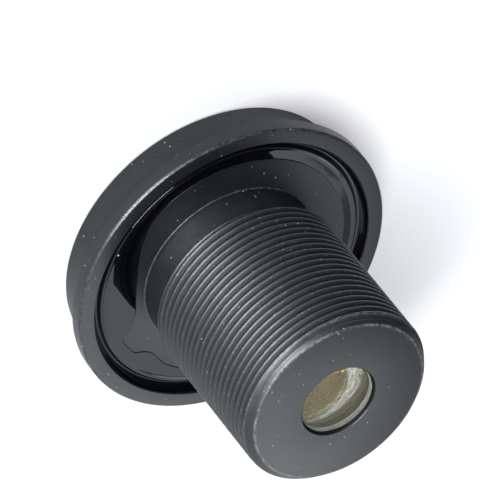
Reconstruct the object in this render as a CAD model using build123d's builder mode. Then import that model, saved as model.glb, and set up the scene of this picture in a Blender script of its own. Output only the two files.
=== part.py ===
from build123d import *
import math
import os

# Wide-angle lens for a board camera, standing on its front rim. Millimetres.
# The optical axis is +Z: the front rim lies at z = 0 and the sensor side is on top.

# Front element, a deep meniscus with a stepped edge for its seal
front_element_radius = 7.6
front_element_edge = 1.04
front_element_recess = 0.25
front_element_depth = 1.21
front_element_back_depth = 1.61
front_element_back_radius = 4.4
seal_section_radius = 0.25
seal_gap = 0.05

# Barrel, outside
cup_wall = 0.65
flange_thickness = 0.55
film_width = 0.75
film_recess_depth = 0.06
neck_radius = 5.5
neck_length = 2.1
neck_fillet = 0.1
thread_radius = 5.95
thread_lead_in = 0.2
rear_chamfer = 0.5

# Barrel, inside
front_bore_radius = 4.45
middle_bore_radius = 3.55
rear_bore_radius = 2.95
rear_lip_radius = 2.2
rear_lip_height = 0.3
bore_lead_in = 0.1

# Front cap
nose_wall = 0.8
nose_land = 0.7
nose_chamfer = 0.2
lip_width = 0.35
lip_thickness = 0.36
rim_wall = 1.0
rim_thickness = 0.9
rim_stand = 0.45
rim_chamfer = 0.12
rim_edge_break = 0.06

# Clearances between what is turned and what it holds
glass_clearance = 0.05
head_clearance = 0.05
head_end_gap = 0.04
ring_clearance = 0.05
lip_clearance = 0.05

# Retaining ring
ring_height = 0.45
ring_front_gap = 0.05
ring_slot_width = 0.8
ring_slot_depth = 0.22

# Second element, a meniscus. A depth is how far a surface bulges or sinks at the axis.
second_edge = 1.6
second_front_land = 0.4
second_front_depth = 0.84
second_back_land = 1.4
second_back_depth = 1.35

# Third element, hollow on both sides
third_edge = 2.0
third_front_land = 1.0
third_front_depth = 0.49
third_back_land = 1.2
third_back_depth = 0.77

# Fourth element, full on both sides
fourth_edge = 0.7
fourth_land = 0.5
fourth_front_depth = 1.3
fourth_back_depth = 0.89

# Cemented pair
pair_front_edge = 0.6
pair_front_land = 0.35
pair_front_depth = 0.57
pair_joint_depth = 0.94
pair_back_edge = 1.52
pair_back_land = 0.5
pair_back_depth = 0.23

# Rear element, full on both sides
rear_element_edge = 0.9
rear_element_front_land = 0.4
rear_element_front_depth = 0.67
rear_element_back_land = 0.75
rear_element_back_depth = 0.26

# Spacers, baffles and the stop
first_spacer_height = 0.8
first_spacer_wall = 0.7
second_spacer_height = 0.8
second_spacer_wall = 0.45
third_spacer_height = 1.15
third_spacer_wall = 0.45
pair_spacer_height = 0.8
pair_spacer_wall = 0.3
rear_spacer_height = 0.63
rear_spacer_wall = 0.35
foil_thickness = 0.1
first_baffle_width = 1.35
rear_baffle_width = 1.2
stop_thickness = 0.15
stop_hole_radius = 1.3
stop_bevel = 0.1

# Filter window, set below the rear face
window_radius = 2.32
window_thickness = 0.75
window_recess = 0.2
window_bevel = 0.04
window_clearance = 0.08

# Black sealant in the groove behind the barrel's head
sealant_width = 0.7
sealant_floor_drop = 0.24
film_thickness = 0.04
crest_offset = 0.06
crest_height = 0.05
trough_offset = 0.3
trough_depth = 0.2
meniscus_margin = 0.09
film_run_in = 0.12

# Inner edge of the smear of sealant on the flange: angle in degrees, reach inwards from the film
smear_thickness = 0.04
smear_edge = [
    (-92, -0.07),
    (-76, 0.17),
    (-63, 0.65),
    (-54, 1.00),
    (-45, 1.30),
    (-35, 1.45),
    (-25, 1.44),
    (-17, 1.30),
    (-9, 0.60),
    (-6, 0.05),
    (0, 0.03),
    (6, 0.09),
    (10, 0.47),
    (15, 0.65),
    (20, 0.52),
    (26, 0.30),
    (33, 0.18),
    (42, -0.07),
]


# Radii, from the front element outwards
cup_radius = front_element_radius + glass_clearance
head_radius = cup_radius + cup_wall
cap_bore_radius = head_radius + head_clearance
nose_radius = cap_bore_radius + nose_wall
mouth_radius = nose_radius - nose_land
sealant_bore_radius = head_radius + sealant_width
rim_radius = sealant_bore_radius + rim_wall
matte_face_radius = head_radius - film_width
lip_radius = front_element_radius - lip_width
front_element_aperture = lip_radius - lip_clearance

# Radii inside the barrel
front_glass_radius = front_bore_radius - glass_clearance
middle_glass_radius = middle_bore_radius - glass_clearance
rear_glass_radius = rear_bore_radius - glass_clearance
window_pocket_radius = window_radius + window_clearance

# Seal in the step of the front element's edge
seal_radius = front_element_radius - seal_section_radius
seal_step_radius = seal_radius - seal_section_radius - seal_gap

# Heights of the head, from the front rim upwards
lip_back_z = front_element_recess + front_element_depth
lip_front_z = lip_back_z - lip_thickness
head_end_z = lip_back_z + head_end_gap
seat_z = lip_back_z + front_element_edge
seal_z = seat_z - seal_section_radius
seal_step_z = seat_z - 2 * seal_section_radius
flange_z = seat_z + flange_thickness
film_floor_z = flange_z - film_recess_depth
film_top_z = film_floor_z + film_thickness
sealant_floor_z = film_floor_z - sealant_floor_drop
smear_top_z = flange_z + smear_thickness
cap_height = flange_z + rim_stand
step_z = cap_height - rim_thickness
thread_start_z = flange_z + neck_length

# Heights of the stack in the front bore
ring_z = seat_z + ring_front_gap
second_z = ring_z + ring_height
first_baffle_z = second_z + second_edge
first_spacer_z = first_baffle_z + foil_thickness
third_z = first_spacer_z + first_spacer_height
second_spacer_z = third_z + third_edge
fourth_z = second_spacer_z + second_spacer_height
third_spacer_z = fourth_z + fourth_edge
stop_z = third_spacer_z + third_spacer_height
middle_bore_z = stop_z + stop_thickness

# Heights of the stack in the middle and rear bores
pair_front_z = middle_bore_z + pair_spacer_height
pair_joint_z = pair_front_z + pair_front_edge
pair_back_z = pair_joint_z + pair_back_edge
rear_bore_z = pair_back_z + foil_thickness
rear_element_z = rear_bore_z + rear_spacer_height
rear_lip_z = rear_element_z + rear_element_edge
window_z = rear_lip_z + rear_lip_height
window_back_z = window_z + window_thickness
total_length = window_back_z + window_recess


def surface(reach, z, depth, side):
    """Points of a spherical surface on the plane XZ: apex, halfway, edge. Side -1 bulges to the front."""
    curve = (reach**2 + depth**2) / (2 * depth)
    apex_z = z + side * depth
    halfway_z = apex_z - side * (curve - math.sqrt(curve**2 - (reach / 2) ** 2))
    return (0, apex_z), (reach / 2, halfway_z), (reach, z)


def glass_profile(radius, front_z, back_z, front_surface, back_surface):
    """Half section of a round element, its surfaces given as (land, depth, side)."""
    front_land, front_depth, front_side = front_surface
    back_land, back_depth, back_side = back_surface
    front = surface(radius - front_land, front_z, front_depth, front_side)
    back = surface(radius - back_land, back_z, back_depth, back_side)
    with BuildSketch(Plane.XZ) as profile:
        with BuildLine():
            ThreePointArc(*front)
            if front_land > 0:
                Line(front[2], (radius, front_z))
            Line((radius, front_z), (radius, back_z))
            if back_land > 0:
                Line((radius, back_z), back[2])
            ThreePointArc(*back)
            Line(back[0], front[0])
        make_face()
    return profile.sketch


# Barrel: one turned tube with the threaded length, a plain neck, the flange and the cup for the front
# element. The thread is a fine one, so the threaded length is a plain cylinder at its crests.
with BuildPart() as lens_barrel:
    with BuildSketch(Plane.XZ):
        with BuildLine():
            Polyline(
                (cup_radius, head_end_z),
                (head_radius, head_end_z),
                (head_radius, film_floor_z),
                (matte_face_radius, film_floor_z),
                (matte_face_radius, flange_z),
                (neck_radius, flange_z),
                (neck_radius, thread_start_z),
                (thread_radius - thread_lead_in, thread_start_z),
                (thread_radius, thread_start_z + thread_lead_in),
                (thread_radius, total_length - rear_chamfer),
                (thread_radius - rear_chamfer, total_length),
                (window_pocket_radius, total_length),
                (window_pocket_radius, window_z),
                (rear_lip_radius, window_z),
                (rear_lip_radius, rear_lip_z),
                (rear_bore_radius, rear_lip_z),
                (rear_bore_radius, rear_bore_z),
                (middle_bore_radius, rear_bore_z),
                (middle_bore_radius, middle_bore_z),
                (front_bore_radius, middle_bore_z),
                (front_bore_radius, seat_z + bore_lead_in),
                (front_bore_radius + bore_lead_in, seat_z),
                (cup_radius, seat_z),
                close=True,
            )
        make_face()
    revolve(axis=Axis.Z)
    neck_circles = lens_barrel.edges().filter_by(lambda e: abs(e.bounding_box().size.X / 2 - neck_radius) < 0.001)
    fillet(neck_circles.sort_by(Axis.Z)[0], radius=neck_fillet)

# Front cap: turned ring with a wide rim, a narrower nose, a flared mouth and the lip over the front element
with BuildPart() as front_cap:
    with BuildSketch(Plane.XZ):
        with BuildLine():
            Polyline(
                (mouth_radius, 0),
                (nose_radius - nose_chamfer, 0),
                (nose_radius, nose_chamfer),
                (nose_radius, step_z),
                (rim_radius - rim_edge_break, step_z),
                (rim_radius, step_z + rim_edge_break),
                (rim_radius, cap_height - rim_chamfer),
                (rim_radius - rim_chamfer, cap_height),
                (sealant_bore_radius + rim_edge_break, cap_height),
                (sealant_bore_radius, cap_height - rim_edge_break),
                (sealant_bore_radius, sealant_floor_z),
                (cap_bore_radius, sealant_floor_z),
                (cap_bore_radius, lip_back_z),
                (lip_radius, lip_back_z),
                (lip_radius, lip_front_z),
                close=True,
            )
        make_face()
    revolve(axis=Axis.Z)

# Sealant: a film on the flange's edge, a crest over its corner, a trough and a meniscus up the cap's bore
meniscus_z = cap_height - meniscus_margin
film_start = (head_radius - film_run_in, film_top_z)
smear_points = [
    Vector(matte_face_radius - reach, 0).rotate(Axis.Z, angle)
    for angle, reach in smear_edge
]
smear_outer = Vector(head_radius + crest_offset, 0)
first_angle = smear_edge[0][0]
last_angle = smear_edge[-1][0]
with BuildPart() as sealant_bead:
    with BuildSketch(Plane.XZ):
        with BuildLine():
            Polyline(
                film_start,
                (matte_face_radius, film_top_z),
                (matte_face_radius, film_floor_z),
                (head_radius, film_floor_z),
                (head_radius, sealant_floor_z),
                (sealant_bore_radius, sealant_floor_z),
                (sealant_bore_radius, meniscus_z),
            )
            Spline(
                (sealant_bore_radius, meniscus_z),
                (head_radius + trough_offset, film_top_z - trough_depth),
                (head_radius + crest_offset, film_top_z + crest_height),
                film_start,
                tangents=[(-0.25, -1), (-1, 0)],
            )
        make_face()
    revolve(axis=Axis.Z)
    # The smear covers the film as far as the crest and creeps inwards over the flange's face on one side
    with BuildSketch(Plane.XY.offset(film_floor_z)):
        with BuildLine():
            Spline(*smear_points)
            Line(smear_points[-1], smear_outer.rotate(Axis.Z, last_angle))
            ThreePointArc(
                smear_outer.rotate(Axis.Z, last_angle),
                smear_outer.rotate(Axis.Z, (first_angle + last_angle) / 2),
                smear_outer.rotate(Axis.Z, first_angle),
            )
            Line(smear_outer.rotate(Axis.Z, first_angle), smear_points[0])
        make_face()
    extrude(amount=smear_top_z - film_floor_z)
    with BuildSketch(Plane.XY.offset(film_floor_z)):
        Circle(matte_face_radius)
    extrude(amount=film_recess_depth, mode=Mode.SUBTRACT)

# Front element, with the step for its seal
front = surface(front_element_aperture, lip_back_z, front_element_depth, -1)
back = surface(front_element_back_radius, seat_z, front_element_back_depth, -1)
with BuildPart() as front_element:
    with BuildSketch(Plane.XZ):
        with BuildLine():
            ThreePointArc(*front)
            Polyline(
                front[2],
                (front_element_radius, lip_back_z),
                (front_element_radius, seal_step_z),
                (seal_step_radius, seal_step_z),
                (seal_step_radius, seat_z),
                back[2],
            )
            ThreePointArc(*back)
            Line(back[0], front[0])
        make_face()
    revolve(axis=Axis.Z)

# Seal: rubber ring squeezed between the element's step and the barrel's seat
with BuildPart() as front_seal:
    with BuildSketch(Plane.XZ):
        with Locations((seal_radius, seal_z)):
            Circle(seal_section_radius)
    revolve(axis=Axis.Z)

# Retaining ring, with two slots across its front for a pin wrench
with BuildPart() as retaining_ring:
    with BuildSketch(Plane.XY.offset(ring_z)):
        Circle(front_bore_radius - ring_clearance)
        Circle(front_glass_radius - second_front_land, mode=Mode.SUBTRACT)
    extrude(amount=ring_height)
    with BuildSketch(Plane.XY.offset(ring_z)):
        Rectangle(2 * front_bore_radius, ring_slot_width)
    extrude(amount=ring_slot_depth, mode=Mode.SUBTRACT)

# Front bore, from the retaining ring down to the stop
with BuildPart() as second_element:
    add(
        glass_profile(
            front_glass_radius,
            second_z,
            first_baffle_z,
            (second_front_land, second_front_depth, -1),
            (second_back_land, second_back_depth, -1),
        )
    )
    revolve(axis=Axis.Z)

with BuildPart() as first_baffle:
    with BuildSketch(Plane.XY.offset(first_baffle_z)):
        Circle(front_glass_radius)
        Circle(front_glass_radius - first_baffle_width, mode=Mode.SUBTRACT)
    extrude(amount=foil_thickness)

with BuildPart() as first_spacer:
    with BuildSketch(Plane.XY.offset(first_spacer_z)):
        Circle(front_glass_radius)
        Circle(front_glass_radius - first_spacer_wall, mode=Mode.SUBTRACT)
    extrude(amount=first_spacer_height)

with BuildPart() as third_element:
    add(
        glass_profile(
            front_glass_radius,
            third_z,
            second_spacer_z,
            (third_front_land, third_front_depth, 1),
            (third_back_land, third_back_depth, -1),
        )
    )
    revolve(axis=Axis.Z)

with BuildPart() as second_spacer:
    with BuildSketch(Plane.XY.offset(second_spacer_z)):
        Circle(front_glass_radius)
        Circle(front_glass_radius - second_spacer_wall, mode=Mode.SUBTRACT)
    extrude(amount=second_spacer_height)

with BuildPart() as fourth_element:
    add(
        glass_profile(
            front_glass_radius,
            fourth_z,
            third_spacer_z,
            (fourth_land, fourth_front_depth, -1),
            (fourth_land, fourth_back_depth, 1),
        )
    )
    revolve(axis=Axis.Z)

with BuildPart() as third_spacer:
    with BuildSketch(Plane.XY.offset(third_spacer_z)):
        Circle(front_glass_radius)
        Circle(front_glass_radius - third_spacer_wall, mode=Mode.SUBTRACT)
    extrude(amount=third_spacer_height)

# Aperture stop: thin disc with a bevelled hole, on the shoulder of the middle bore
with BuildPart() as aperture_stop:
    with BuildSketch(Plane.XY.offset(stop_z)):
        Circle(front_glass_radius)
        Circle(stop_hole_radius, mode=Mode.SUBTRACT)
    extrude(amount=stop_thickness)
    stop_edge = aperture_stop.edges().filter_by(GeomType.CIRCLE).group_by(Axis.Z)[-1].sort_by(SortBy.RADIUS)[0]
    chamfer(stop_edge, length=stop_bevel)

# Middle bore: the cemented pair between its spacer and a baffle
with BuildPart() as pair_spacer:
    with BuildSketch(Plane.XY.offset(middle_bore_z)):
        Circle(middle_glass_radius)
        Circle(middle_glass_radius - pair_spacer_wall, mode=Mode.SUBTRACT)
    extrude(amount=pair_spacer_height)

with BuildPart() as pair_front_element:
    add(
        glass_profile(
            middle_glass_radius,
            pair_front_z,
            pair_joint_z,
            (pair_front_land, pair_front_depth, -1),
            (0, pair_joint_depth, 1),
        )
    )
    revolve(axis=Axis.Z)

with BuildPart() as pair_back_element:
    add(
        glass_profile(
            middle_glass_radius,
            pair_joint_z,
            pair_back_z,
            (0, pair_joint_depth, 1),
            (pair_back_land, pair_back_depth, -1),
        )
    )
    revolve(axis=Axis.Z)

with BuildPart() as rear_baffle:
    with BuildSketch(Plane.XY.offset(pair_back_z)):
        Circle(middle_glass_radius)
        Circle(middle_glass_radius - rear_baffle_width, mode=Mode.SUBTRACT)
    extrude(amount=foil_thickness)

# Rear bore: the rear element between its spacer and the lip in front of the window
with BuildPart() as rear_spacer:
    with BuildSketch(Plane.XY.offset(rear_bore_z)):
        Circle(rear_glass_radius)
        Circle(rear_glass_radius - rear_spacer_wall, mode=Mode.SUBTRACT)
    extrude(amount=rear_spacer_height)

with BuildPart() as rear_element:
    add(
        glass_profile(
            rear_glass_radius,
            rear_element_z,
            rear_lip_z,
            (rear_element_front_land, rear_element_front_depth, -1),
            (rear_element_back_land, rear_element_back_depth, 1),
        )
    )
    revolve(axis=Axis.Z)

# Filter window: flat round glass in its own pocket in the rear face
with BuildPart() as rear_window:
    with BuildSketch(Plane.XY.offset(window_z)):
        Circle(window_radius)
    extrude(amount=window_thickness)
    chamfer(rear_window.edges().filter_by(GeomType.CIRCLE), length=window_bevel)

pieces = {
    "lens_barrel": lens_barrel,
    "front_cap": front_cap,
    "sealant_bead": sealant_bead,
    "front_element": front_element,
    "front_seal": front_seal,
    "retaining_ring": retaining_ring,
    "second_element": second_element,
    "first_baffle": first_baffle,
    "first_spacer": first_spacer,
    "third_element": third_element,
    "second_spacer": second_spacer,
    "fourth_element": fourth_element,
    "third_spacer": third_spacer,
    "aperture_stop": aperture_stop,
    "pair_spacer": pair_spacer,
    "pair_front_element": pair_front_element,
    "pair_back_element": pair_back_element,
    "rear_baffle": rear_baffle,
    "rear_spacer": rear_spacer,
    "rear_element": rear_element,
    "rear_window": rear_window,
}

os.makedirs("parts", exist_ok=True)
for name, piece in pieces.items():
    piece.part.label = name
    export_step(piece.part, f"parts/{name}.step")
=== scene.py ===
import math

import bmesh
import bpy
from mathutils import Matrix, Vector
from mathutils.geometry import interpolate_bezier


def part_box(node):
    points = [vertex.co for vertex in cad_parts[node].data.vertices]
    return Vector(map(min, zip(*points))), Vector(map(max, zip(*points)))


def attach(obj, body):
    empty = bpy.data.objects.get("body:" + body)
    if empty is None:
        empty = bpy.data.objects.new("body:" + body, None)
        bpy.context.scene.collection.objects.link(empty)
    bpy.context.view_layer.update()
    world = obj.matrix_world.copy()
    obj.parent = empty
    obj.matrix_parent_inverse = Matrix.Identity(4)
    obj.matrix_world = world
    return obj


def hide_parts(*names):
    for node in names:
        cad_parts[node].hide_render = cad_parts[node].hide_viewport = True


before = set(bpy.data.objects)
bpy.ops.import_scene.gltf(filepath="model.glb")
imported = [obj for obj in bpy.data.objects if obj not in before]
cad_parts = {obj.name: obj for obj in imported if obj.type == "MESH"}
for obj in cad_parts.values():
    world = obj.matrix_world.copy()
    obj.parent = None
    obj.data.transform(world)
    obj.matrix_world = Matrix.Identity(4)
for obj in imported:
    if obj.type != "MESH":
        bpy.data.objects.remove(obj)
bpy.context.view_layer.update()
print("frame loaded with", len(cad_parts), "pieces")

# Everything is modelled in millimetres and scaled to metres when a piece is finished.
# The lens stands on its front rim, its axis along +Z, with the sensor side on top.
mm = 0.001


# Radius, front height and rear height of a piece
def extent(name):
    low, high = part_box(name)
    return high.x / mm, low.z / mm, high.z / mm


capRadius, capFront, capBack = extent("front_cap")
barrelHeadRadius, headEnd, totalLength = extent("lens_barrel")
beadRadius, beadFloor, meniscusTop = extent("sealant_bead")
frontGlassRadius, frontGlassApex, seatHeight = extent("front_element")
windowRadius, windowFront, windowBack = extent("rear_window")
rearGlassRadius, rearGlassApex, rearGlassTop = extent("rear_element")
frontBoreGlass = extent("second_element")[0]
middleBoreGlass, pairSpacerFront = extent("pair_spacer")[:2]
rearBoreFloor = extent("rear_spacer")[1]
glassClearance = 0.05
flangeThickness = 0.55
flangeHeight = seatHeight + flangeThickness


# Mesh helpers

def toObject(name, bm, sharpAngle=32):
    bmesh.ops.recalc_face_normals(bm, faces=bm.faces)
    bmesh.ops.scale(bm, vec=(mm, mm, mm), verts=bm.verts)
    mesh = bpy.data.meshes.new(name)
    bm.to_mesh(mesh)
    bm.free()
    mesh.shade_smooth()
    mesh.set_sharp_from_angle(angle=math.radians(sharpAngle))
    obj = bpy.data.objects.new(name, mesh)
    bpy.context.scene.collection.objects.link(obj)
    return obj


def vertRadius(vert):
    return math.hypot(vert.co.x, vert.co.y)


def ringEdges(bm, radius, height, reach=0.002):
    near = {v for v in bm.verts if abs(vertRadius(v) - radius) < reach and abs(v.co.z - height) < reach}
    return [edge for edge in bm.edges if edge.verts[0] in near and edge.verts[1] in near]


# Rounds the turned edges that lie at the given radius and height: (radius, height, width)
def roundEdges(bm, edges, segments=3):
    for radius, height, width in edges:
        ring = ringEdges(bm, radius, height)
        bmesh.ops.bevel(
            bm, geom=ring, offset=width, offset_type="OFFSET", affect="EDGES",
            segments=segments, profile=0.5, material=-1,
        )


# Turns a half section about the axis, as on a lathe
def lathe(outline, steps, closed=True):
    bm = bmesh.new()
    verts = [bm.verts.new((radius, 0, height)) for radius, height in outline]
    edges = [bm.edges.new(pair) for pair in zip(verts, verts[1:])]
    if closed:
        edges.append(bm.edges.new((verts[-1], verts[0])))
    bmesh.ops.spin(
        bm, geom=verts + edges, cent=(0, 0, 0), axis=(0, 0, 1), dvec=(0, 0, 0),
        angle=2 * math.pi, steps=steps, use_merge=True, use_normal_flip=False, use_duplicate=False,
    )
    bmesh.ops.remove_doubles(bm, verts=bm.verts, dist=0.0005)
    return bm


# Moves a vertex to a ring, which gives its radius and height at each angle about the axis
def toRing(vert, ring):
    angle = math.atan2(vert.co.y, vert.co.x)
    radius, height = ring(angle)
    vert.co = (radius * math.cos(angle), radius * math.sin(angle), height)


# Extrudes an edge loop ring by ring
def growRings(bm, loop, rings):
    for ring in rings:
        grown = bmesh.ops.extrude_edge_only(bm, edges=loop)["geom"]
        for vert in (item for item in grown if isinstance(item, bmesh.types.BMVert)):
            toRing(vert, ring)
        loop = [item for item in grown if isinstance(item, bmesh.types.BMEdge) and item.is_boundary]
    return loop


def turned(radius, height):
    return lambda angle: (radius, height)


# Points of a spherical glass surface from the axis out to its edge. Side -1 bulges to the front.
def dome(reach, height, depth, side, count=16):
    curve = (reach**2 + depth**2) / (2 * depth)
    radii = [reach * i / count for i in range(count + 1)]
    return [(r, height + side * (depth - curve + math.sqrt(curve**2 - r**2))) for r in radii]


# Node helpers

def addNode(tree, kind, inputs=None, **settings):
    node = tree.nodes.new(kind)
    for key, value in settings.items():
        setattr(node, key, value)
    for key, value in (inputs or {}).items():
        if isinstance(value, bpy.types.NodeSocket):
            tree.links.new(value, node.inputs[key])
        else:
            node.inputs[key].default_value = value
    return node


def calc(tree, operation, *values):
    return addNode(tree, "ShaderNodeMath", dict(enumerate(values)), operation=operation).outputs[0]


def spread(tree, value, start, end, low=0.0, high=1.0, kind="LINEAR"):
    ends = {"Value": value, "From Min": start, "From Max": end, "To Min": low, "To Max": high}
    return addNode(tree, "ShaderNodeMapRange", ends, interpolation_type=kind).outputs[0]


def noise(tree, place, scale, detail, roughness=0.5):
    inputs = {"Vector": place, "Scale": scale, "Detail": detail, "Roughness": roughness}
    return addNode(tree, "ShaderNodeTexNoise", inputs).outputs["Fac"]


def mixTones(tree, factor, first, second):
    inputs = {"Factor": factor, 6: first, 7: second}
    return addNode(tree, "ShaderNodeMix", inputs, data_type="RGBA").outputs[2]


def bumped(tree, height, strength, depth):
    inputs = {"Height": height, "Strength": strength, "Distance": depth * mm}
    return addNode(tree, "ShaderNodeBump", inputs).outputs[0]


def opaque(colour):
    return (*colour, 1)


def objectPlace(tree):
    return addNode(tree, "ShaderNodeTexCoord").outputs["Object"]


def split(tree, place):
    return addNode(tree, "ShaderNodeSeparateXYZ", {"Vector": place}).outputs


def distance(tree, across, along):
    gap = addNode(tree, "ShaderNodeCombineXYZ", {"X": across, "Y": along}).outputs[0]
    return addNode(tree, "ShaderNodeVectorMath", {0: gap}, operation="LENGTH").outputs["Value"]


def newGroup(name, inputs, outputs):
    tree = bpy.data.node_groups.new(name, "ShaderNodeTree")
    for label, default in inputs.items():
        socket = tree.interface.new_socket(name=label, in_out="INPUT", socket_type="NodeSocketFloat")
        socket.default_value = default
    for label in outputs:
        tree.interface.new_socket(name=label, in_out="OUTPUT", socket_type="NodeSocketFloat")
    return tree, addNode(tree, "NodeGroupInput").outputs, addNode(tree, "NodeGroupOutput").inputs


def useGroup(tree, group, values):
    node = tree.nodes.new("ShaderNodeGroup")
    node.node_tree = group
    for key, value in values.items():
        node.inputs[key].default_value = value
    return node.outputs


# Dust and painted glints: small pale specks, one in some of the cells of a fine cell pattern
def makeDustAndGlintGroup():
    tree, given, out = newGroup("dustAndGlintSpecks", {"Scale": 1400.0, "Size": 0.12, "Share": 0.2}, ["Mask"])
    place = objectPlace(tree)
    cells = addNode(tree, "ShaderNodeTexVoronoi", {"Vector": place, "Scale": given["Scale"]}).outputs
    chance = addNode(tree, "ShaderNodeSeparateColor", {"Color": cells["Color"]}).outputs
    chosen = calc(tree, "LESS_THAN", chance["Red"], given["Share"])
    reach = calc(tree, "MULTIPLY", chance["Green"], given["Size"])
    core = calc(tree, "MULTIPLY", reach, 0.5)
    spot = spread(tree, cells["Distance"], core, reach, low=1.0, high=0.0)
    tree.links.new(calc(tree, "MULTIPLY", spot, chosen), out["Mask"])
    return tree


# Blasted and anodised grain: a fine height for the bump and a broad, faint mottle
def makeGrainGroup():
    scales = {"Scale": 16000.0, "Mottle Scale": 900.0}
    tree, given, out = newGroup("anodisedGrain", scales, ["Height", "Mottle"])
    place = objectPlace(tree)
    fine = noise(tree, place, given["Scale"], detail=2.0, roughness=0.6)
    broad = noise(tree, place, given["Mottle Scale"], detail=3.0, roughness=0.6)
    tree.links.new(fine, out["Height"])
    tree.links.new(broad, out["Mottle"])
    return tree


# Wear and painted sheen come in patches. They set in between two values of a noise and never fall below the
# least.
patchLook = {
    "rings": {"scale": 5000.0, "from": 0.42, "full": 0.62, "least": 0.12},
    "crests": {"scale": 4500.0, "from": 0.3, "full": 0.7, "least": 0.35},
}


def patches(tree, place, look):
    value = noise(tree, place, look["scale"], detail=3.0)
    return spread(tree, value, look["from"], look["full"], low=look["least"])


# Worn edges, lightened further as painted highlights: the given strength on a ring about the axis, fading
# out over its reach, in patches
def makeWearAndSheenGroup():
    ring = {"Radius": 0.01, "Height": 0.0, "Reach": 0.0001, "Strength": 1.0}
    tree, given, out = newGroup("ringWearAndSheen", ring, ["Mask"])
    place = objectPlace(tree)
    axes = split(tree, place)
    beyond = calc(tree, "SUBTRACT", distance(tree, axes["X"], axes["Y"]), given["Radius"])
    above = calc(tree, "SUBTRACT", axes["Z"], given["Height"])
    away = distance(tree, beyond, above)
    near = spread(tree, away, 0.0, given["Reach"], low=1.0, high=0.0, kind="SMOOTHSTEP")
    wearAndSheenMask = calc(tree, "MULTIPLY", near, patches(tree, place, patchLook["rings"]))
    tree.links.new(calc(tree, "MULTIPLY", wearAndSheenMask, given["Strength"]), out["Mask"])
    return tree


# Worn crests, where painted glints also go: rises from 0 to 1 between two radii, behind the given height, in
# patches
def makeCrestGroup():
    tree, given, out = newGroup("crestWearAndGlints", {"Low": 0.0058, "High": 0.006, "Start": 0.005}, ["Mask"])
    place = objectPlace(tree)
    axes = split(tree, place)
    radius = distance(tree, axes["X"], axes["Y"])
    rise = spread(tree, radius, given["Low"], given["High"], kind="SMOOTHSTEP")
    behind = calc(tree, "GREATER_THAN", axes["Z"], given["Start"])
    crests = calc(tree, "MULTIPLY", rise, behind)
    wearAndSheenMask = calc(tree, "MULTIPLY", crests, patches(tree, place, patchLook["crests"]))
    tree.links.new(wearAndSheenMask, out["Mask"])
    return tree


# Painted reflection streak: a crescent between two arcs about a point, with fine arcs in it, standing in for
# a streak of reflected light.
# The inner arc moves out towards +X and wavers with the fine arcs.
streakLook = {
    "lineRun": 4.0,               # noise cells to a radian along the lines
    "waver": 0.3 * mm,
    "linesFrom": 0.38,
    "linesFull": 0.64,
}


def makeStreakArcGroup():
    crescent = {
        "Centre X": 0.0, "Centre Y": -0.003, "Inner": 0.003, "Outer": 0.004, "Slant": 0.4,
        "Soft": 0.0001, "Fine": 9000.0,
    }
    tree, given, out = newGroup("paintedStreakArcs", crescent, ["Mask", "Lines"])
    look = streakLook
    axes = split(tree, objectPlace(tree))
    east = calc(tree, "SUBTRACT", axes["X"], given["Centre X"])
    north = calc(tree, "SUBTRACT", axes["Y"], given["Centre Y"])
    radius = distance(tree, east, north)
    lineRow = calc(tree, "MULTIPLY", radius, given["Fine"])
    lineRun = calc(tree, "MULTIPLY", calc(tree, "ARCTAN2", east, north), look["lineRun"])
    linePlace = addNode(tree, "ShaderNodeCombineXYZ", {"X": lineRow, "Y": lineRun}).outputs[0]
    lines = noise(tree, linePlace, 1.0, detail=2.0)
    slanted = calc(tree, "MULTIPLY_ADD", east, given["Slant"], given["Inner"])
    wavering = spread(tree, lines, 0.0, 1.0, low=-look["waver"], high=look["waver"])
    pastInner = calc(tree, "SUBTRACT", radius, calc(tree, "ADD", slanted, wavering))
    beforeOuter = calc(tree, "SUBTRACT", given["Outer"], radius)
    within = calc(tree, "MINIMUM", pastInner, beforeOuter)
    tree.links.new(spread(tree, within, 0.0, given["Soft"], kind="SMOOTHSTEP"), out["Mask"])
    tree.links.new(spread(tree, lines, look["linesFrom"], look["linesFull"]), out["Lines"])
    return tree


dustAndGlintGroup = makeDustAndGlintGroup()
grainGroup = makeGrainGroup()
wearAndSheenGroup = makeWearAndSheenGroup()
crestWearAndGlintGroup = makeCrestGroup()
streakArcGroup = makeStreakArcGroup()


def newMaterial(name):
    material = bpy.data.materials.new(name)
    material.use_nodes = True
    tree = material.node_tree
    return material, tree, tree.nodes["Principled BSDF"]


# Lets the roughness follow the mottle, between the two values of the look
def mottleRoughness(tree, shader, grain, look):
    smooth, rough = look["roughness"]
    value = spread(tree, grain["Mottle"], 0.0, 1.0, low=smooth, high=rough)
    tree.links.new(value, shader.inputs["Roughness"])
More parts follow.
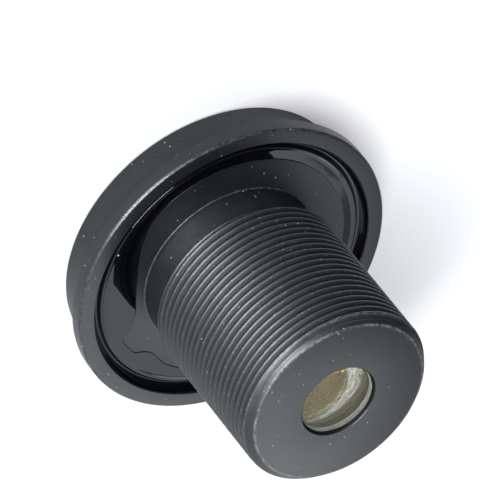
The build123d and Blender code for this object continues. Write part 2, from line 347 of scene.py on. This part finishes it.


# Turned, blasted and black anodised aluminium, with worn edges and thread crests, painted highlights on the
# edges, painted glints on the crests, dust, and a duller sheen low down as painted shade
def anodisedBlack(name, look):
    material, tree, shader = newMaterial(name)
    grain = useGroup(tree, grainGroup, {"Scale": look["grainScale"], "Mottle Scale": look["mottleScale"]})
    tone = mixTones(tree, grain["Mottle"], opaque(look["dark"]), opaque(look["light"]))
    # Lighter rings on the edges: wear, made lighter still as painted highlights on the chamfers and the
    # neck's fillet
    for radius, height, reach, strength in look["wearAndSheenRings"]:
        ring = {"Radius": radius * mm, "Height": height * mm, "Reach": reach * mm, "Strength": strength}
        wearAndSheen = useGroup(tree, wearAndSheenGroup, ring)
        tone = mixTones(tree, wearAndSheen["Mask"], tone, opaque(look["wearAndSheenColour"]))
    if "crest" in look:
        low, high, start = (value * mm for value in look["crest"])
        wearAndSheen = useGroup(tree, crestWearAndGlintGroup, {"Low": low, "High": high, "Start": start})
        # Painted glints: pale specks on the worn crests that stand in for sparkling highlights
        glints = useGroup(tree, dustAndGlintGroup, look["glints"])
        bare = mixTones(tree, glints["Mask"], opaque(look["crestColour"]), opaque(look["glintColour"]))
        tone = mixTones(tree, wearAndSheen["Mask"], tone, bare)
    dust = useGroup(tree, dustAndGlintGroup, look["dust"])
    tone = mixTones(tree, dust["Mask"], tone, opaque(look["dustColour"]))
    mottleRoughness(tree, shader, grain, look)
    tree.links.new(tone, shader.inputs["Base Color"])
    tree.links.new(bumped(tree, grain["Height"], look["bump"], look["bumpDepth"]), shader.inputs["Normal"])
    shader.inputs["Specular IOR Level"].default_value = look["specular"]
    # Painted shade: the sheen is duller low on the barrel, by the flange and the neck, where shade falls
    if "shadedSheen" in look:
        low, high, dull = look["shadedSheen"]
        height = split(tree, objectPlace(tree))["Z"]
        sheen = spread(tree, height, low * mm, high * mm, low=dull, high=look["specular"])
        tree.links.new(sheen, shader.inputs["Specular IOR Level"])
    return material


# Clear and coated glass. The coating's colour is in the specular tint and faint smears are in the roughness.
# A painted reflection streak of arcs shines in a coat over it.
def coatedGlass(name, look):
    material, tree, shader = newMaterial(name)
    grain = useGroup(tree, grainGroup, {"Scale": look["smearScale"], "Mottle Scale": look["smearScale"]})
    mottleRoughness(tree, shader, grain, look)
    shader.inputs["Base Color"].default_value = opaque(look["colour"])
    shader.inputs["Specular Tint"].default_value = opaque(look["coating"])
    shader.inputs["IOR"].default_value = look["ior"]
    shader.inputs["Transmission Weight"].default_value = 1.0
    # Painted reflection streak: the crescent's coat shines and its fine arcs tint the glass browner
    if "arcs" in look:
        arcs = useGroup(tree, streakArcGroup, look["arcs"])
        dull, shiny = look["shine"]
        tone = mixTones(tree, arcs["Lines"], opaque(look["colour"]), opaque(look["arcColour"]))
        shine = spread(tree, arcs["Lines"], 0.0, 1.0, low=dull, high=shiny)
        tree.links.new(tone, shader.inputs["Base Color"])
        tree.links.new(calc(tree, "MULTIPLY", arcs["Mask"], shine), shader.inputs["Coat Weight"])
        shader.inputs["Coat IOR"].default_value = look["coatIor"]
        shader.inputs["Coat Roughness"].default_value = look["coatRoughness"]
    return material


# Plain finishes of the window's edge and the pieces inside, each with a grain of its own
plainLooks = {
    "groundEdge": {
        "dark": (0.44, 0.49, 0.62), "light": (0.60, 0.66, 0.80), "roughness": 0.6, "scale": 6000.0,
    },
    "innerBlack": {
        "dark": (0.012, 0.012, 0.013), "light": (0.025, 0.025, 0.027), "roughness": 0.6, "scale": 1500.0,
    },
    "sealRubber": {
        "dark": (0.010, 0.010, 0.010), "light": (0.020, 0.020, 0.020), "roughness": 0.75, "scale": 900.0,
    },
    "blackFoil": {
        "dark": (0.010, 0.010, 0.011), "light": (0.020, 0.020, 0.022), "roughness": 0.5, "scale": 2500.0,
    },
    "finerGrain": 8,              # times as fine as the mottle
    "bump": 0.3,
    "bumpDepth": 0.02,
}


def matteFinish(name):
    look = plainLooks[name]
    material, tree, shader = newMaterial(name)
    scales = {"Scale": look["scale"] * plainLooks["finerGrain"], "Mottle Scale": look["scale"]}
    grain = useGroup(tree, grainGroup, scales)
    tone = mixTones(tree, grain["Mottle"], opaque(look["dark"]), opaque(look["light"]))
    bump = bumped(tree, grain["Height"], plainLooks["bump"], plainLooks["bumpDepth"])
    tree.links.new(tone, shader.inputs["Base Color"])
    tree.links.new(bump, shader.inputs["Normal"])
    shader.inputs["Roughness"].default_value = look["roughness"]
    return material


print("finishes ready")


# Sizes of the glass, which the barrel holds

glassSizes = {
    "windowSteps": 160,           # round the axis
    "rearSteps": 120,
    "frontSteps": 200,
    "windowBevel": 0.04,
    "rearFrontLand": 0.4,
    "rearFrontDepth": 0.67,
    "rearBackLand": 0.75,
    "rearBackDepth": 0.26,
    "frontRecessRadius": 7.2,
    "frontDepth": 1.21,
    "frontBackRadius": 4.4,
    "frontBackDepth": 1.61,
    "sealStepRadius": 7.05,
    "sealStep": 0.5,
}


# Barrel: the thread is a real helix, cut off at both ends, and the rest is grown from its rear edge

barrelSizes = {
    "steps": 128,                 # round the axis
    "threadRadius": 5.95,
    "threadDepth": 0.29,
    "pitch": 0.5,
    "crestAt": 0.19,              # height of a crest at the +X side, less whole pitches
    "neckRadius": 5.5,
    "neckLength": 2.1,
    "neckFillet": 0.1,
    "leadIn": 0.2,
    "rearChamfer": 0.5,
    "rearEdgeBreak": 0.02,
    "pocketClearance": 0.08,
    "pocketRound": 0.03,
    "lipRadius": 2.2,
    "flangeRound": 0.01,
    "filmWidth": 0.75,
    "filmRecess": 0.06,
    "boreLeadIn": 0.1,
}
# From a root to a crest, as shares of the pitch and of the depth. The other flank mirrors it.
threadFlank = [
    (0, 0), (0.03, 0), (0.27, 0.72), (0.303, 0.82), (0.33, 0.88), (0.38, 0.945), (0.438, 0.985), (0.50, 1),
]
threadProfile = threadFlank + [(1 - rise, depth) for rise, depth in threadFlank[-2::-1]]
# The neck's fillet from the flange up, as shares of its size: outwards and up
filletCurve = [(1, 0), (0.62, 0.08), (0.29, 0.29), (0.08, 0.62), (0, 1)]

crestRadius = barrelSizes["threadRadius"]
threadStart = flangeHeight + barrelSizes["neckLength"]
matteRadius = barrelHeadRadius - barrelSizes["filmWidth"]
filmFloor = flangeHeight - barrelSizes["filmRecess"]

barrelLook = {
    "dark": (0.003, 0.0035, 0.0045),
    "light": (0.008, 0.009, 0.0105),
    "roughness": (0.36, 0.44),
    "specular": 0.8,
    # Painted shade: duller sheen by the flange and the neck, which the barrel and cap shade
    "shadedSheen": (flangeHeight + 0.05, threadStart + 0.05, 0.56),   # duller up to the first of two heights
    "grainScale": 14000.0,
    "mottleScale": 900.0,
    "bump": 0.5,
    "bumpDepth": 0.03,
    "dust": {"Scale": 3200.0, "Size": 0.14, "Share": 0.45},
    "dustColour": (0.40, 0.41, 0.43),
    "crest": (crestRadius - 0.13, crestRadius - 0.01, threadStart - 0.15),   # two radii and a height
    "crestColour": (0.010, 0.011, 0.013),
    # painted glints on the crests
    "glints": {"Scale": 7000.0, "Size": 0.36, "Share": 0.30},
    "glintColour": (0.24, 0.27, 0.29),
    # Lighter rings: wear on the rear chamfer's edges, lightened there as painted highlights, and a painted
    # highlight line along the neck's fillet
    "wearAndSheenRings": [                # radius, height, reach and strength
        (crestRadius - barrelSizes["rearChamfer"], totalLength, 0.15, 0.7),
        (crestRadius - 0.02, totalLength - barrelSizes["rearChamfer"], 0.14, 0.85),
        (barrelSizes["neckRadius"] + 0.03, flangeHeight + 0.03, 0.06, 0.4),
    ],
    "wearAndSheenColour": (0.15, 0.158, 0.160),
}


def makeThread(bm):
    s = barrelSizes
    rootRadius = crestRadius - s["threadDepth"]
    pitchesBelow = math.floor((threadStart - s["crestAt"]) / s["pitch"]) - 1
    firstRoot = s["crestAt"] + (pitchesBelow - 0.5) * s["pitch"]
    turns = math.ceil((totalLength - firstRoot) / s["pitch"]) + 1
    verts = [
        bm.verts.new((rootRadius + depth * s["threadDepth"], 0, firstRoot + rise * s["pitch"]))
        for rise, depth in threadProfile
    ]
    edges = [bm.edges.new(pair) for pair in zip(verts, verts[1:])]
    bmesh.ops.spin(
        bm, geom=verts + edges, cent=(0, 0, 0), axis=(0, 0, 1), dvec=(0, 0, s["pitch"] / s["steps"]),
        angle=2 * math.pi, steps=s["steps"], use_merge=False, use_normal_flip=False, use_duplicate=False,
    )
    oneTurn = bm.verts[:] + bm.edges[:] + bm.faces[:]
    for turn in range(1, turns):
        copied = bmesh.ops.duplicate(bm, geom=oneTurn)["geom"]
        copiedVerts = [item for item in copied if isinstance(item, bmesh.types.BMVert)]
        bmesh.ops.translate(bm, vec=(0, 0, turn * s["pitch"]), verts=copiedVerts)
    bmesh.ops.remove_doubles(bm, verts=bm.verts, dist=0.001)
    edgeStart = totalLength - s["rearEdgeBreak"]
    for height, clearBelow, clearAbove in (
        (threadStart, True, False), (edgeStart, False, False), (totalLength, False, True),
    ):
        bmesh.ops.bisect_plane(
            bm, geom=bm.verts[:] + bm.edges[:] + bm.faces[:], dist=0.0001,
            plane_co=(0, 0, height), plane_no=(0, 0, 1), clear_inner=clearBelow, clear_outer=clearAbove,
        )
    # The lead-in, the rear chamfer and its broken edge are cones that cut the crests
    for vert in bm.verts:
        toRear = totalLength - vert.co.z
        frontCone = crestRadius - s["leadIn"] + vert.co.z - threadStart
        rearCone = crestRadius - s["rearChamfer"] + toRear
        edgeCone = crestRadius - s["rearChamfer"] - s["rearEdgeBreak"] + 2 * toRear
        cut = min(frontCone, rearCone, edgeCone) / vertRadius(vert)
        if cut < 1:
            vert.co.x *= cut
            vert.co.y *= cut


def makeBarrel():
    s = barrelSizes
    bm = bmesh.new()
    makeThread(bm)

    def endLoop(height, reach=0.001):
        return [e for e in bm.edges if e.is_boundary and all(abs(v.co.z - height) < reach for v in e.verts)]

    pocketRadius = windowRadius + s["pocketClearance"]
    rearBore = rearGlassRadius + glassClearance
    middleBore = middleBoreGlass + glassClearance
    frontBore = frontBoreGlass + glassClearance
    cupRadius = frontGlassRadius + glassClearance
    lipFront = rearGlassTop - glassSizes["rearBackDepth"]
    fillet = s["neckFillet"]
    rings = [
        turned(pocketRadius + s["pocketRound"], totalLength),
        turned(pocketRadius, totalLength - s["pocketRound"]),
        turned(pocketRadius, windowFront),
        turned(s["lipRadius"], windowFront),
        turned(s["lipRadius"], lipFront),
        turned(rearBore, lipFront),
        turned(rearBore, rearBoreFloor),
        turned(middleBore, rearBoreFloor),
        turned(middleBore, pairSpacerFront),
        turned(frontBore, pairSpacerFront),
        turned(frontBore, seatHeight + s["boreLeadIn"]),
        turned(frontBore + s["boreLeadIn"], seatHeight),
        turned(cupRadius, seatHeight),
        turned(cupRadius, headEnd),
        turned(barrelHeadRadius, headEnd),
        turned(barrelHeadRadius, filmFloor),
        turned(matteRadius, filmFloor),
        turned(matteRadius, flangeHeight - s["flangeRound"]),
        turned(matteRadius - s["flangeRound"], flangeHeight),
        *(turned(s["neckRadius"] + out * fillet, flangeHeight + up * fillet) for out, up in filletCurve),
        turned(s["neckRadius"], threadStart),
    ]
    inner = growRings(bm, endLoop(totalLength), rings)
    neckEnd = set(inner)
    threadEnd = [edge for edge in endLoop(threadStart) if edge not in neckEnd]
    bmesh.ops.bridge_loops(bm, edges=inner + threadEnd)
    return toObject("threaded_barrel", bm, sharpAngle=38)


barrel = makeBarrel()
barrel.data.materials.append(anodisedBlack("barrelBlack", barrelLook))
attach(barrel, "root")
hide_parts("lens_barrel")
print("barrel made,", len(barrel.data.polygons), "faces")


# Front cap: rim, nose, flared mouth and the lip over the front element

capSizes = {
    "steps": 240,                 # round the axis
    "noseWall": 0.8,
    "headClearance": 0.05,
    "noseLand": 0.7,
    "noseChamfer": 0.2,
    "mouthRound": 0.04,
    "rimThickness": 0.9,
    "rimChamfer": 0.12,
    "rimRound": 0.03,
    "edgeBreak": 0.06,
    "stepBreak": 0.015,
    "lipWidth": 0.35,
    "lipThickness": 0.36,
    "lipBack": 1.46,
}
capLook = {
    "dark": (0.003, 0.0035, 0.0045),
    "light": (0.008, 0.009, 0.0105),
    "roughness": (0.27, 0.33),
    "specular": 0.60,
    "grainScale": 14000.0,
    "mottleScale": 700.0,
    "bump": 0.4,
    "bumpDepth": 0.03,
    "dust": {"Scale": 3000.0, "Size": 0.14, "Share": 0.6},
    "dustColour": (0.40, 0.41, 0.43),
    # Lighter rim chamfer edge: wear, and a painted highlight along it
    "wearAndSheenRings": [(capRadius - 0.05, capBack - 0.05, 0.14, 0.6)],
    "wearAndSheenColour": (0.070, 0.078, 0.084),
}


def makeCap():
    s = capSizes
    boreRadius = barrelHeadRadius + s["headClearance"]
    noseRadius = boreRadius + s["noseWall"]
    mouthRadius = noseRadius - s["noseLand"]
    step = capBack - s["rimThickness"]
    lipRadius = frontGlassRadius - s["lipWidth"]
    outline = [
        (mouthRadius, capFront),
        (noseRadius - s["noseChamfer"], capFront),
        (noseRadius, capFront + s["noseChamfer"]),
        (noseRadius, step),
        (capRadius - s["stepBreak"], step),
        (capRadius, step + s["stepBreak"]),
        (capRadius, capBack - s["rimChamfer"]),
        (capRadius - s["rimChamfer"], capBack),
        (beadRadius + s["edgeBreak"], capBack),
        (beadRadius, capBack - s["edgeBreak"]),
        (beadRadius, beadFloor),
        (boreRadius, beadFloor),
        (boreRadius, s["lipBack"]),
        (lipRadius, s["lipBack"]),
        (lipRadius, s["lipBack"] - s["lipThickness"]),
    ]
    bm = lathe(outline, s["steps"])
    roundEdges(bm, [
        (capRadius, capBack - s["rimChamfer"], s["rimRound"]),
        (capRadius - s["rimChamfer"], capBack, s["rimRound"]),
        (mouthRadius, capFront, s["mouthRound"]),
    ])
    return toObject("front_cap_shell", bm)


cap = makeCap()
cap.data.materials.append(anodisedBlack("capBlack", capLook))
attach(cap, "root")
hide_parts("front_cap")
print("cap made")


# Sealant: a film on the flange's edge, a crest over its corner, a trough and a meniscus up the cap's bore

# On one side a smear of it has crept inwards over the flange
beadSizes = {
    "steps": 360,
    "filmTop": -0.02,             # against the flange's face
    "filmRunIn": 0.12,            # from the flat of the film to the head's edge
    "smearTop": 0.036,
    "smearLip": [(0, 0.06), (0, 0.02), (0.009, 0.008), (0.03, 0)],   # inset and drop, from its foot up
    "smearFlat": 0.06,            # inset where it is flat
    "smearStart": 14,             # degrees over which it rises, and falls again past its end
    "smearEnd": 20,
    "smearBite": 0.005,           # its foot stands this deep in the flange's face
    "filmShare": 0.35,            # below this share of its thickness, its foot is the film's
    "crestOffset": 0.06,          # from the head's edge
    "crestHeight": 0.05,
    "troughOffset": 0.30,
    "troughDepth": 0.20,
    "riseRuns": (0.08, 0.06),     # lengths of the handles of its curves, at their start and end
    "fallRuns": (0.14, 0.14),
    "climbRun": 0.18,
    "wallRun": (0.02, 0.25),      # the last handle, across and down the cap's bore
    "curvePoints": (6, 8, 10),    # on the rise, the fall and the climb
}
# Inner edge of the smear: angle in degrees, reach inwards from the film
smearEdge = [
    (-92, 0.0), (-84, 0.04), (-76, 0.17), (-63, 0.65), (-54, 1.00), (-45, 1.30), (-35, 1.45), (-25, 1.44),
    (-17, 1.30), (-9, 0.60), (-6, 0.05), (0, 0.03), (6, 0.09), (10, 0.47), (15, 0.65), (20, 0.52),
    (26, 0.30), (33, 0.18), (42, 0.0),
]
# Glossy black sealant, hardly wavy, with a little dust caught in it; its pale specks also serve as painted
# glints in the trough
sealantLook = {
    "colour": (0.0015, 0.0016, 0.0018),
    "roughness": 0.04,
    "specular": 0.34,
    "waves": {"Scale": 1200.0},
    "wave": 0.03,
    "waveDepth": 0.05,
    "dust": {"Scale": 2200.0, "Size": 0.15, "Share": 0.09},
    "dustColour": (0.6, 0.6, 0.6),
}


def glossySealant(look):
    material, tree, shader = newMaterial("glossySealant")
    waves = useGroup(tree, grainGroup, look["waves"])
    # Pale specks: dust, and painted glints of light in the trough
    dust = useGroup(tree, dustAndGlintGroup, look["dust"])
    tone = mixTones(tree, dust["Mask"], opaque(look["colour"]), opaque(look["dustColour"]))
    tree.links.new(tone, shader.inputs["Base Color"])
    tree.links.new(bumped(tree, waves["Height"], look["wave"], look["waveDepth"]), shader.inputs["Normal"])
    shader.inputs["Roughness"].default_value = look["roughness"]
    shader.inputs["Specular IOR Level"].default_value = look["specular"]
    return material


# Smooth value at an angle between the points of smearEdge
def smearReach(angle):
    degrees = math.degrees(angle)
    last = len(smearEdge) - 1
    if not smearEdge[0][0] < degrees < smearEdge[last][0]:
        return 0.0
    i = max(n for n, point in enumerate(smearEdge[:last]) if point[0] <= degrees)
    before, start, end, after = (smearEdge[max(0, min(last, n))] for n in range(i - 1, i + 3))
    span = end[0] - start[0]
    t = (degrees - start[0]) / span
    startSlope = (end[1] - before[1]) / max(end[0] - before[0], 1) * span
    endSlope = (after[1] - start[1]) / max(after[0] - start[0], 1) * span
    return max(0.0, (
        (2 * t**3 - 3 * t**2 + 1) * start[1] + (t**3 - 2 * t**2 + t) * startSlope
        + (-2 * t**3 + 3 * t**2) * end[1] + (t**3 - t**2) * endSlope
    ))


# How much of the smear's thickness lies on the film at an angle
def smearShare(angle):
    degrees = math.degrees(angle)
    fromStart = (degrees - smearEdge[0][0]) / beadSizes["smearStart"]
    fromEnd = (smearEdge[-1][0] - degrees) / beadSizes["smearEnd"] + 1
    return max(0.0, min(1.0, fromStart, fromEnd))


def makeSealant():
    s = beadSizes
    filmTop = flangeHeight + s["filmTop"]
    smearTop = flangeHeight + s["smearTop"]
    filmEnd = barrelHeadRadius - s["filmRunIn"]
    crest = (barrelHeadRadius + s["crestOffset"], filmTop + s["crestHeight"])
    trough = (barrelHeadRadius + s["troughOffset"], filmTop - s["troughDepth"])

    def topAt(angle):
        share = smearShare(angle)
        return filmTop + (smearTop - filmTop) * share * share * (3 - 2 * share)

    def inward(inset, drop):
        def ring(angle):
            floor = filmFloor if smearShare(angle) < s["filmShare"] else flangeHeight - s["smearBite"]
            return matteRadius - smearReach(angle) + inset, max(topAt(angle) - drop, floor)
        return ring

    def across(share):
        def ring(angle):
            start = matteRadius - smearReach(angle) + s["smearFlat"]
            return start + (filmEnd - start) * share, topAt(angle)
        return ring

    def overCrest(radius, height):
        def ring(angle):
            lift = (topAt(angle) - filmTop) * max(0.0, (crest[0] - radius) / (crest[0] - filmEnd))
            return radius, height + lift
        return ring

    # Points of a curve between two points, with its handles given as steps from them
    def curve(start, startStep, end, endStep, count):
        startHandle = (start[0] + startStep[0], start[1] + startStep[1])
        endHandle = (end[0] + endStep[0], end[1] + endStep[1])
        knots = (Vector((radius, 0, height)) for radius, height in (start, startHandle, endHandle, end))
        return [(point.x, point.z) for point in interpolate_bezier(*knots, count)]

    wallTop = (beadRadius, meniscusTop)
    risePoints, fallPoints, climbPoints = s["curvePoints"]
    rise = curve((filmEnd, filmTop), (s["riseRuns"][0], 0), crest, (-s["riseRuns"][1], 0), risePoints)
    fall = curve(crest, (s["fallRuns"][0], 0), trough, (-s["fallRuns"][1], 0), fallPoints)
    climb = curve(trough, (s["climbRun"], 0), wallTop, (-s["wallRun"][0], -s["wallRun"][1]), climbPoints)

    foot, *lip = (inward(inset, drop) for inset, drop in s["smearLip"])
    bm = bmesh.new()
    bmesh.ops.create_circle(bm, cap_ends=False, segments=s["steps"], radius=matteRadius)
    for vert in bm.verts:
        toRing(vert, foot)
    growRings(bm, bm.edges[:], [
        *lip,
        *(across(share) for share in (0, 0.2, 0.4, 0.6, 0.8)),
        *(overCrest(radius, height) for radius, height in rise),
        *(turned(radius, height) for radius, height in fall[1:] + climb[1:]),
        turned(beadRadius, beadFloor),
        turned(barrelHeadRadius, beadFloor),
        turned(barrelHeadRadius, filmFloor),
        turned(matteRadius, filmFloor),
        foot,
    ])
    bmesh.ops.remove_doubles(bm, verts=bm.verts, dist=0.0005)
    return toObject("sealant_skin", bm, sharpAngle=50)


sealant = makeSealant()
sealant.data.materials.append(glossySealant(sealantLook))
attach(sealant, "root")
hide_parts("sealant_bead")
print("sealant made")


# Glass: the filter window with its ground edge, the rear element under it and the front element

glassLooks = {
    "windowGlass": {
        "colour": (0.88, 0.84, 0.62),
        "coating": (0.55, 0.48, 0.28),
        "ior": 1.52,
        "roughness": (0.0, 0.02),
        "smearScale": 400.0,
        # painted reflection streak: a shiny coat and a browner tint in a crescent of arcs
        "arcs": {
            "Centre X": 0.1 * mm, "Centre Y": -1.9 * mm, "Inner": 1.97 * mm, "Outer": 2.76 * mm,
            "Slant": 0.27, "Soft": 0.2 * mm, "Fine": 10500.0,
        },
        "arcColour": (0.52, 0.42, 0.26),
        "shine": (0.08, 1.0),
        "coatIor": 2.7,
        "coatRoughness": 0.10,
    },
    "rearGlass": {
        "colour": (0.50, 0.44, 0.22),
        "coating": (0.55, 0.43, 0.12),
        "ior": 1.75,
        "roughness": (0.0, 0.03),
        "smearScale": 500.0,
    },
    "innerGlass": {
        "colour": (0.70, 0.64, 0.42),
        "coating": (0.36, 0.28, 0.08),
        "ior": 1.65,
        "roughness": (0.0, 0.02),
        "smearScale": 300.0,
    },
    "frontGlass": {
        "colour": (0.97, 0.98, 0.97),
        "coating": (0.40, 0.60, 0.50),
        "ior": 1.6,
        "roughness": (0.0, 0.02),
        "smearScale": 200.0,
    },
}


def makeWindow():
    s = glassSizes
    bevel = s["windowBevel"]
    outline = [
        (0, windowBack),
        (windowRadius - bevel, windowBack),
        (windowRadius, windowBack - bevel),
        (windowRadius, windowFront + bevel),
        (windowRadius - bevel, windowFront),
        (0, windowFront),
    ]
    window = toObject("filter_window", lathe(outline, s["windowSteps"], closed=False), sharpAngle=25)
    window.data.materials.append(coatedGlass("windowGlass", glassLooks["windowGlass"]))
    window.data.materials.append(matteFinish("groundEdge"))
    # The side and the front bevel are ground, the rear bevel is polished
    for face in window.data.polygons:
        centre = face.center / mm
        if math.hypot(centre.x, centre.y) > windowRadius - bevel and centre.z < windowBack - bevel:
            face.material_index = 1
    return window


def makeRearElement():
    s = glassSizes
    edgeBack = rearGlassTop - s["rearBackDepth"]
    edgeFront = rearGlassApex + s["rearFrontDepth"]
    front = dome(rearGlassRadius - s["rearFrontLand"], edgeFront, s["rearFrontDepth"], -1)
    back = dome(rearGlassRadius - s["rearBackLand"], edgeBack, s["rearBackDepth"], 1)
    outline = front + [(rearGlassRadius, edgeFront), (rearGlassRadius, edgeBack)] + back[::-1]
    rear = toObject("rear_glass", lathe(outline, s["rearSteps"], closed=False), sharpAngle=25)
    rear.data.materials.append(coatedGlass("rearGlass", glassLooks["rearGlass"]))
    return rear


def makeFrontElement():
    s = glassSizes
    edgeFront = frontGlassApex + s["frontDepth"]
    front = dome(s["frontRecessRadius"], edgeFront, s["frontDepth"], -1, count=24)
    back = dome(s["frontBackRadius"], seatHeight, s["frontBackDepth"], -1, count=24)
    outline = front + [
        (frontGlassRadius, edgeFront),
        (frontGlassRadius, seatHeight - s["sealStep"]),
        (s["sealStepRadius"], seatHeight - s["sealStep"]),
        (s["sealStepRadius"], seatHeight),
    ] + back[::-1]
    meniscus = toObject("front_glass", lathe(outline, s["frontSteps"], closed=False), sharpAngle=25)
    meniscus.data.materials.append(coatedGlass("frontGlass", glassLooks["frontGlass"]))
    return meniscus


for piece, node, slot in (
    (makeWindow(), "rear_window", "filter_glass"),
    (makeRearElement(), "rear_element", "inner_glass"),
    (makeFrontElement(), "front_element", "front_glass"),
):
    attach(piece, "root")
    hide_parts(node)
print("glass made")


# Finishes of the pieces inside, which keep their own solids

innerGlass = coatedGlass("innerGlass", glassLooks["innerGlass"])
innerBlack = matteFinish("innerBlack")
sealRubber = matteFinish("sealRubber")
blackFoil = matteFinish("blackFoil")
insideFinishes = {
    "front_seal": sealRubber,
    "retaining_ring": innerBlack,
    "second_element": innerGlass,
    "first_baffle": blackFoil,
    "first_spacer": innerBlack,
    "third_element": innerGlass,
    "second_spacer": innerBlack,
    "fourth_element": innerGlass,
    "third_spacer": innerBlack,
    "aperture_stop": blackFoil,
    "pair_spacer": innerBlack,
    "pair_front_element": innerGlass,
    "pair_back_element": innerGlass,
    "rear_baffle": blackFoil,
    "rear_spacer": innerBlack,
}
for name, finish in insideFinishes.items():
    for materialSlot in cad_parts[name].material_slots:
        materialSlot.material = finish
print("inner pieces finished")


# Floor: a plain pale sheet, not seen from below

# The camera sees the sheet lifted to white, with a pale shadow. The lens sees it as it is lit.
floorLook = {
    "size": 3000,
    "colour": (0.50, 0.50, 0.50),
    "roughness": 0.9,
    "specular": 0.1,
    "lift": 0.34,
    "liftColour": (0.99, 0.96, 1.0),
}


def makeFloor():
    look = floorLook
    bm = bmesh.new()
    bmesh.ops.create_grid(bm, x_segments=1, y_segments=1, size=look["size"])
    floor = toObject("floor", bm)
    material, tree, shader = newMaterial("paleFloor")
    light = addNode(tree, "ShaderNodeLightPath")
    lift = calc(tree, "MULTIPLY", light.outputs["Is Camera Ray"], look["lift"])
    tree.links.new(lift, shader.inputs["Emission Strength"])
    shader.inputs["Emission Color"].default_value = opaque(look["liftColour"])
    shader.inputs["Base Color"].default_value = opaque(look["colour"])
    shader.inputs["Roughness"].default_value = look["roughness"]
    shader.inputs["Specular IOR Level"].default_value = look["specular"]
    side = addNode(tree, "ShaderNodeNewGeometry")
    clear = addNode(tree, "ShaderNodeBsdfTransparent")
    mix = addNode(
        tree, "ShaderNodeMixShader",
        {0: side.outputs["Backfacing"], 1: shader.outputs["BSDF"], 2: clear.outputs["BSDF"]},
    )
    tree.links.new(mix.outputs[0], tree.nodes["Material Output"].inputs["Surface"])
    floor.data.materials.append(material)


makeFloor()


# Light: a soft key, a low fill, a wide soft box with a low strip under it, and pale surroundings

lightSizes = {
    "worldDark": 0.06,
    "worldBright": 0.78,
    "worldSide": (0.75, 0.45, 0.48),   # towards the bright side
    "worldFade": (-0.1, 0.75),
    "worldColour": (0.90, 0.95, 1.0),
    "aim": (0, 0, 8),                  # the point that the key and the fill face
    "mirrorElevation": 40.3,           # of what the flat faces mirror to the camera
}
# The key and the fill are wide and low, like a row of windows. Sizes are width and height, in millimetres.
keyLamp = {
    "azimuth": -70, "elevation": 49, "distance": 450, "size": (260, 60),
    "radiance": 60.0, "colour": (0.92, 0.96, 1.0),
}
fillLamp = {
    "azimuth": -74, "elevation": 4, "distance": 400, "size": (240, 50),
    "radiance": 66.0, "colour": (0.92, 0.97, 1.0),
}
# The box and the strip lie square to what the flat faces mirror, which is the box's lower left corner
softBox = {
    "corner": (-9.5, 1.3), "turn": -12, "distance": 100, "size": (90, 90),
    "radiance": 1.36, "colour": (0.90, 0.97, 1.0),
}
lowSill = {
    "corner": (7, -26), "turn": -12, "distance": 100, "size": (60, 20),
    "radiance": 2.4, "colour": (0.90, 0.96, 1.0),
}


def addLamp(name, look, place, facing):
    width, height = look["size"]
    data = bpy.data.lights.new(name, "AREA")
    data.shape = "RECTANGLE"
    data.size = width * mm
    data.size_y = height * mm
    data.energy = look["radiance"] * math.pi * data.size * data.size_y
    data.color = look["colour"]
    lamp = bpy.data.objects.new(name, data)
    lamp.matrix_world = Matrix.Translation(place * mm) @ facing
    lamp.visible_camera = False
    bpy.context.scene.collection.objects.link(lamp)


# A lamp aimed at the middle of the lens
def aimedLamp(name, look):
    azimuth = math.radians(look["azimuth"])
    elevation = math.radians(look["elevation"])
    level = math.cos(elevation)
    outward = Vector((math.cos(azimuth) * level, math.sin(azimuth) * level, math.sin(elevation)))
    place = Vector(lightSizes["aim"]) + outward * look["distance"]
    addLamp(name, look, place, outward.to_track_quat("Z", "Y").to_matrix().to_4x4())


def mirroredLamp(name, look):
    elevation = math.radians(lightSizes["mirrorElevation"])
    outward = Vector((0, math.cos(elevation), math.sin(elevation)))
    upward = Vector((0, -math.sin(elevation), math.cos(elevation)))
    sideways = Vector((1, 0, 0))
    square = Matrix((sideways, upward, outward)).transposed().to_4x4()
    facing = square @ Matrix.Rotation(math.radians(look["turn"]), 4, "Z")
    corner = outward * look["distance"] + sideways * look["corner"][0] + upward * look["corner"][1]
    width, height = look["size"]
    place = corner + (facing @ Vector((width / 2, height / 2, 0, 0))).to_3d()
    addLamp(name, look, place, facing)


def makeWorld():
    look = lightSizes
    world = bpy.data.worlds.new("paleRoom")
    world.use_nodes = True
    tree = world.node_tree
    background = tree.nodes["Background"]
    direction = addNode(tree, "ShaderNodeTexCoord").outputs["Generated"]
    sides = {0: direction, 1: look["worldSide"]}
    along = addNode(tree, "ShaderNodeVectorMath", sides, operation="DOT_PRODUCT").outputs["Value"]
    start, end = look["worldFade"]
    dark, bright = look["worldDark"], look["worldBright"]
    strength = spread(tree, along, start, end, low=dark, high=bright, kind="SMOOTHSTEP")
    background.inputs["Color"].default_value = opaque(look["worldColour"])
    tree.links.new(strength, background.inputs["Strength"])
    bpy.context.scene.world = world


aimedLamp("keyLamp", keyLamp)
aimedLamp("fillLamp", fillLamp)
mirroredLamp("softBox", softBox)
mirroredLamp("lowSill", lowSill)
makeWorld()
print("floor and lights set")


# Camera: a long lens, 40 degrees above the floor and rolled, as in the photograph

cameraSizes = {
    "location": (-1.49, -352.77, 302.44),
    "elevation": 40.31,
    "roll": 141.07,
    "focalLength": 576,
    "sensor": 36,
    "clipStart": 0.01,
    "clipEnd": 20,
}


def makeCamera():
    s = cameraSizes
    data = bpy.data.cameras.new("camera")
    data.lens = s["focalLength"]
    data.sensor_width = s["sensor"]
    data.clip_start = s["clipStart"]
    data.clip_end = s["clipEnd"]
    camera = bpy.data.objects.new("camera", data)
    tilt = Matrix.Rotation(math.radians(90 - s["elevation"]), 4, "X")
    roll = Matrix.Rotation(math.radians(s["roll"]), 4, "Z")
    camera.matrix_world = Matrix.Translation(Vector(s["location"]) * mm) @ tilt @ roll
    bpy.context.scene.collection.objects.link(camera)
    bpy.context.scene.camera = camera


makeCamera()
bpy.context.scene.view_settings.view_transform = "Standard"
